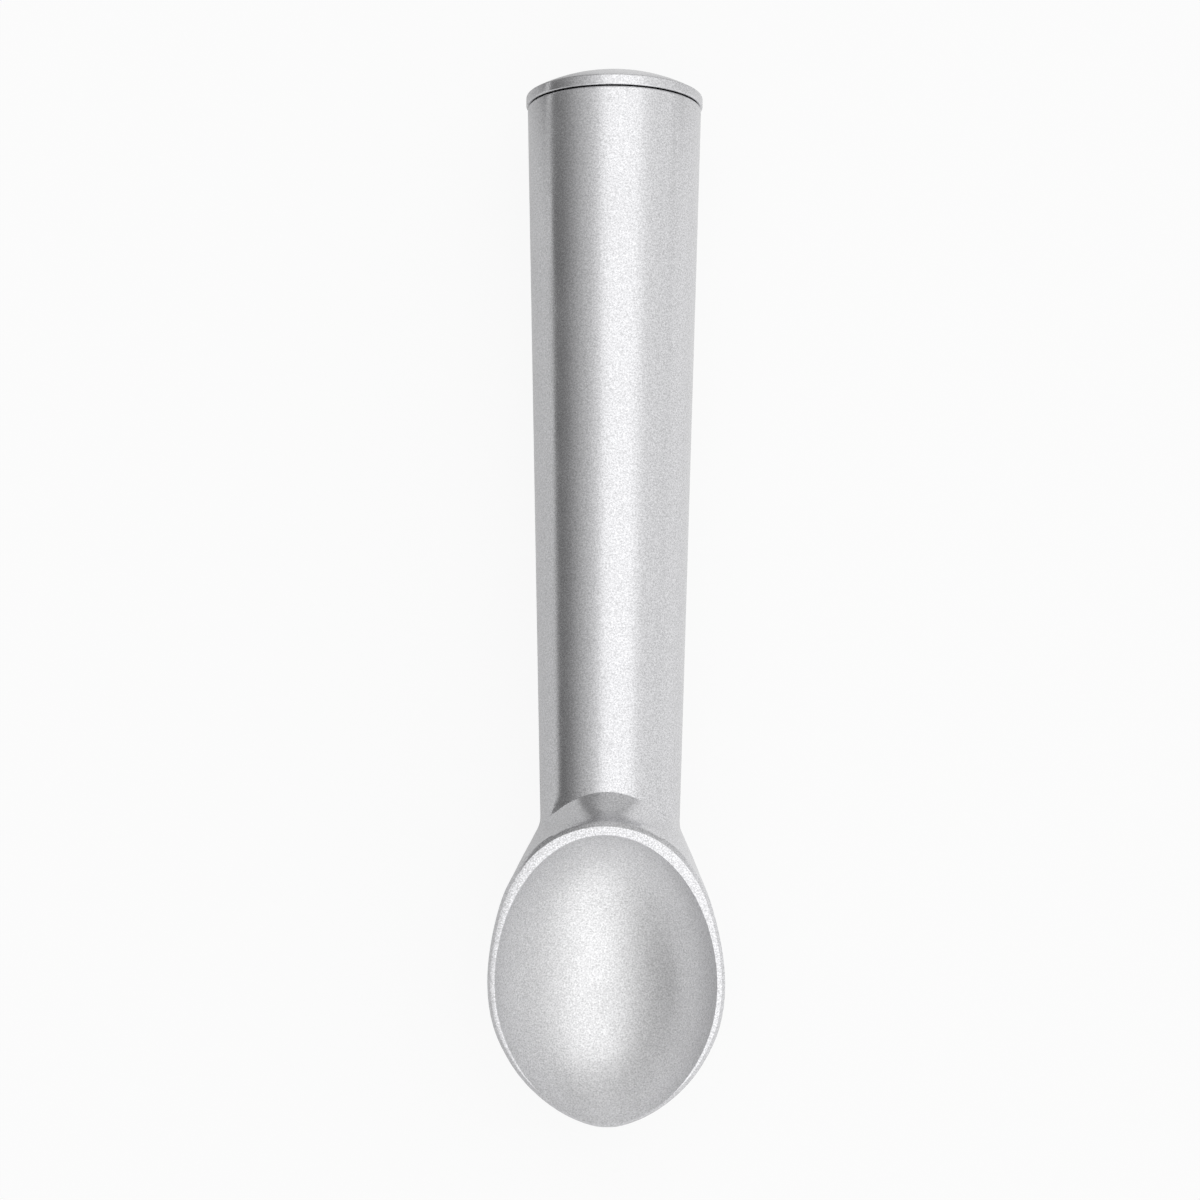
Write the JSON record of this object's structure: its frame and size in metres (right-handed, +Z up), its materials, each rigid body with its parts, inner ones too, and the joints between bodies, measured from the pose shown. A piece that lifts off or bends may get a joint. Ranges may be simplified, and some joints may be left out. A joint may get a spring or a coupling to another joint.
{
  "type": "ice cream scoop",
  "caption": "Heat-conducting ice cream scoop: oval bowl with a flat ground rim, flared neck and a tapered liquid-filled aluminium handle closed by a domed end cap.",
  "frame": {"origin": "centre of the bounding box's base: the scoop lies on its back, and its belly and its cap's flange touch the floor", "axes": "+Y along the handle towards the cap, +Z up out of the bowl's mouth, +X to the right seen from the lip"},
  "size_m": [0.0386, 0.178, 0.0317],
  "materials": {
    "cast_body": "satin",
    "cap_metal": "satin",
    "plug_metal": "satin",
    "ring_rubber": "matte",
    "fluid": "gloss"
  },
  "bodies": {
    "root": {"scoop_body": "cast_body", "end_cap": "cap_metal", "sealing_plug": "plug_metal", "plug_o_ring": "ring_rubber", "heat_fluid": "fluid"}
  },
  "joints": []
}
